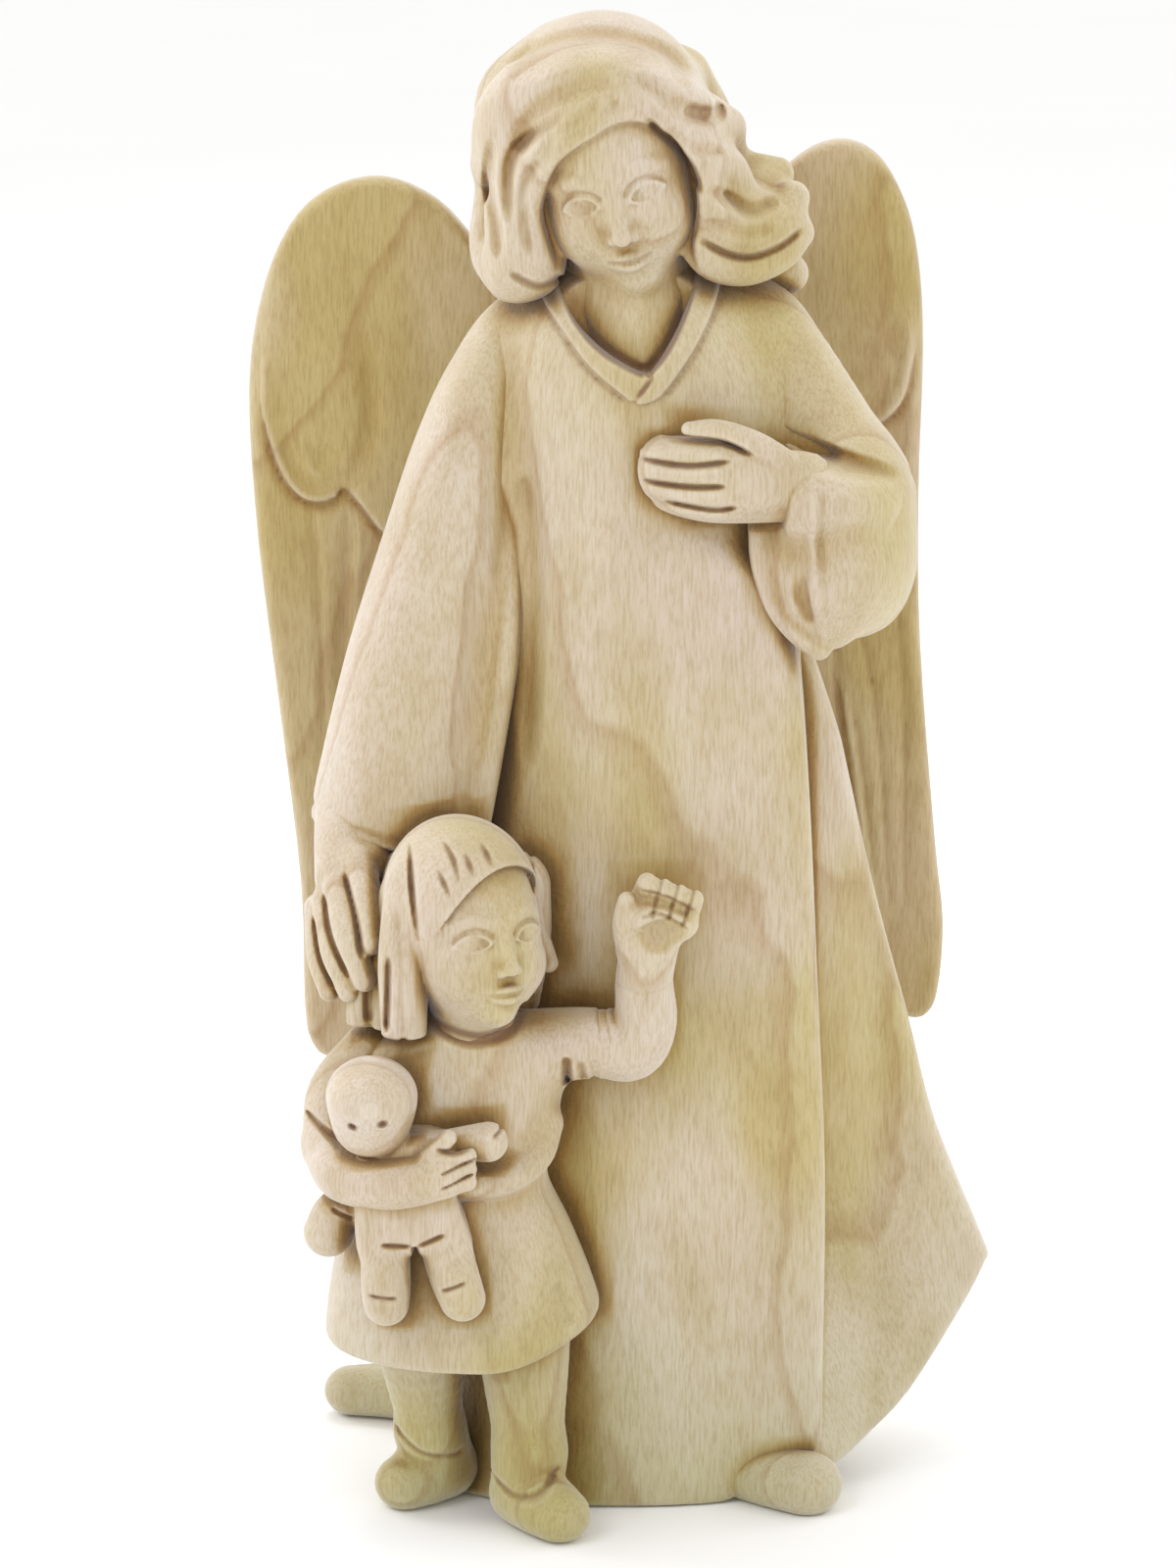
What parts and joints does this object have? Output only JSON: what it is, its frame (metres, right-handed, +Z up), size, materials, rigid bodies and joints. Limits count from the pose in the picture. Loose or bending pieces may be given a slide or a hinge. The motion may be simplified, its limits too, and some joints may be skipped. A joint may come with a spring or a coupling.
{
  "type": "carved wooden figurine",
  "caption": "Pale carved-wood angel in a long robe, one hand on a small girl's hair; the girl raises an open hand and hugs a doll. Stands on its flat underside.",
  "frame": {"origin": "on the floor under the angel's robe, at the centre of its flat underside", "axes": "+Z up; -Y is the side the angel and the girl face; +X is the angel's left, which is the viewer's right"},
  "size_m": [0.1491, 0.1037, 0.2962],
  "materials": {
    "carved_maple": "sanded, matt, lightly stained in the cuts",
    "beech_dowel": "fluted dowel, unfinished"
  },
  "bodies": {
    "root": {"angel_robe": "carved_maple", "robe_train": "carved_maple", "angel_right_wing": "carved_maple", "angel_left_wing": "carved_maple", "angel_head": "carved_maple", "angel_right_sleeve": "carved_maple", "angel_left_sleeve": "carved_maple", "angel_left_hand": "carved_maple", "angel_right_hand": "carved_maple", "angel_right_shoe": "carved_maple", "angel_left_shoe": "carved_maple", "girl_dress": "carved_maple", "girl_head": "carved_maple", "girl_raised_arm": "carved_maple", "girl_hugging_arm": "carved_maple", "girl_right_leg": "carved_maple", "girl_left_leg": "carved_maple", "doll": "carved_maple", "right_wing_upper_dowel": "beech_dowel", "right_wing_lower_dowel": "beech_dowel", "left_wing_upper_dowel": "beech_dowel", "left_wing_lower_dowel": "beech_dowel", "neck_dowel": "beech_dowel", "train_upper_dowel": "beech_dowel", "train_lower_dowel": "beech_dowel", "girl_upper_dowel": "beech_dowel", "girl_lower_dowel": "beech_dowel", "girl_neck_dowel": "beech_dowel", "doll_dowel": "beech_dowel"}
  },
  "joints": []
}
